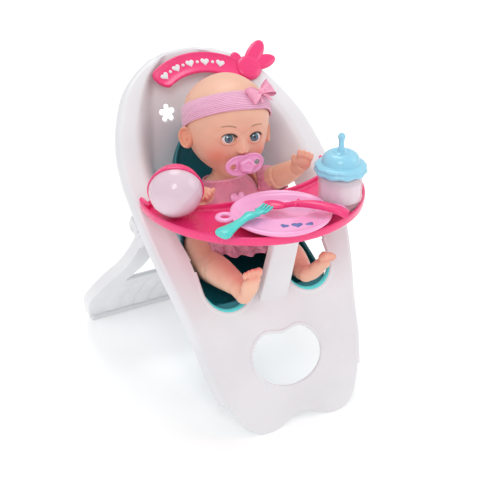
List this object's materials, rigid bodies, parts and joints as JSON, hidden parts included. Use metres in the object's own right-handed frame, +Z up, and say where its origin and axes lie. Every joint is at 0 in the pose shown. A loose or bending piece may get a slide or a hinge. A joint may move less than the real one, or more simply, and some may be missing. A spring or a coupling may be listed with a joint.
{
  "type": "interactive baby doll with high chair",
  "caption": "Baby doll with a voice module and a press-to-talk tummy, seated in a folding high chair with a pull-off tray that carries a feeding bottle, a ball, a plate and cutlery.",
  "frame": {"origin": "middle of the footprint on the floor, at the centre of the bounding box", "axes": "+X towards the doll's left, the chair and the doll face -Y, +Z up"},
  "size_m": [0.2278, 0.3088, 0.3069],
  "materials": {
    "white_plastic": "satin white moulding",
    "magenta_plastic": "glossy magenta moulding",
    "pale_pink_plastic": "glossy pale pink moulding",
    "turquoise_plastic": "glossy turquoise moulding",
    "sky_blue_plastic": "glossy sky blue moulding",
    "teal_plastic": "smooth dark teal moulding",
    "clear_plastic": "clear plastic with a faint pink tint",
    "skin_vinyl": "soft matt vinyl",
    "eye_plastic": "glossy moulded eye",
    "satin": "dusty pink satin",
    "tulle": "sheer net with glitter",
    "knit": "fine ribbed knit",
    "black_plastic": "plain black moulding",
    "board_laminate": "green circuit laminate",
    "steel": "plain steel"
  },
  "bodies": {
    "chair": {"chair_frame": "white_plastic", "seat_bucket": "teal_plastic", "seat_screw_left": "steel", "seat_screw_right": "steel", "banner_sign": "magenta_plastic", "hinge_pin_left": "white_plastic", "hinge_pin_right": "white_plastic", "torso_front": "skin_vinyl", "torso_back": "skin_vinyl", "battery_door": "skin_vinyl", "door_screw": "steel", "module_case": "black_plastic", "button_cell_a": "steel", "button_cell_b": "steel", "button_cell_c": "steel", "speaker": "black_plastic", "circuit_board": "board_laminate", "neck_plug": "white_plastic", "bodice": "satin", "briefs": "satin", "skirt": "tulle"},
    "rear_leg": {"rear_leg": "white_plastic"},
    "tray": {"tray": "magenta_plastic"},
    "bottle": {"bottle_body": "clear_plastic"},
    "bottle_top": {"bottle_cap": "sky_blue_plastic", "bottle_teat": "sky_blue_plastic"},
    "ball": {"ball_dome": "clear_plastic", "ball_cup": "magenta_plastic"},
    "plate": {"plate": "pale_pink_plastic"},
    "fork": {"fork": "turquoise_plastic"},
    "spoon": {"spoon": "magenta_plastic"},
    "head": {"head": "skin_vinyl", "eye_left": "eye_plastic", "eye_right": "eye_plastic", "headband": "knit", "bow": "satin"},
    "soother": {"soother_shield": "pale_pink_plastic", "soother_knob": "pale_pink_plastic"},
    "arm_left": {"arm_left": "skin_vinyl", "sleeve_left": "satin"},
    "arm_right": {"arm_right": "skin_vinyl", "sleeve_right": "satin"},
    "leg_left": {"leg_left": "skin_vinyl"},
    "leg_right": {"leg_right": "skin_vinyl"},
    "tummy_button": {"tummy_button": "pale_pink_plastic"}
  },
  "joints": [
    {"name": "rear_leg_fold", "type": "hinge", "parent": "chair", "child": "rear_leg", "pos_m": [0, -0.0015, 0.179], "axis": [1, 0, 0], "range_deg": [-60, 0]},
    {"name": "tray_pull", "type": "slide", "parent": "chair", "child": "tray", "axis": [0, -1, 0], "range_m": [0, 0.06]},
    {"name": "bottle_lift", "type": "slide", "parent": "tray", "child": "bottle", "axis": [0, 0, 1], "range_m": [0, 0.06]},
    {"name": "bottle_cap_lift", "type": "slide", "parent": "bottle", "child": "bottle_top", "axis": [0, 0, 1], "range_m": [0, 0.03]},
    {"name": "ball_lift", "type": "slide", "parent": "tray", "child": "ball", "axis": [0, 0, 1], "range_m": [0, 0.05]},
    {"name": "plate_lift", "type": "slide", "parent": "tray", "child": "plate", "axis": [0, 0, 1], "range_m": [0, 0.012]},
    {"name": "fork_lift", "type": "slide", "parent": "plate", "child": "fork", "axis": [0, 0, 1], "range_m": [0, 0.03]},
    {"name": "spoon_lift", "type": "slide", "parent": "plate", "child": "spoon", "axis": [0, 0, 1], "range_m": [0, 0.03]},
    {"name": "head_turn", "type": "hinge", "parent": "chair", "child": "head", "pos_m": [0, 0.01724, 0.21129], "axis": [0, 0.2079, 0.9781], "range_deg": [-15, 15]},
    {"name": "soother_pull", "type": "slide", "parent": "head", "child": "soother", "axis": [-0.1288, -0.982, 0.1378], "range_m": [0, 0.02]},
    {"name": "arm_left_swing", "type": "hinge", "parent": "chair", "child": "arm_left", "pos_m": [0.033, 0.01714, 0.18678], "axis": [1, 0, 0], "range_deg": [-50, 0]},
    {"name": "arm_right_swing", "type": "hinge", "parent": "chair", "child": "arm_right", "pos_m": [-0.033, 0.01714, 0.18678], "axis": [1, 0, 0], "range_deg": [-40, 0]},
    {"name": "leg_left_swing", "type": "hinge", "parent": "chair", "child": "leg_left", "pos_m": [0.025, 0.00423, 0.14045], "axis": [1, 0, 0], "range_deg": [-6, 0]},
    {"name": "leg_right_swing", "type": "hinge", "parent": "chair", "child": "leg_right", "pos_m": [-0.025, 0.00423, 0.14045], "axis": [1, 0, 0], "range_deg": [-6, 0]},
    {"name": "tummy_press", "type": "slide", "parent": "chair", "child": "tummy_button", "axis": [0, 0.9781, -0.2079], "range_m": [0, 0.0012], "stiffness_N_per_m": 200}
  ]
}
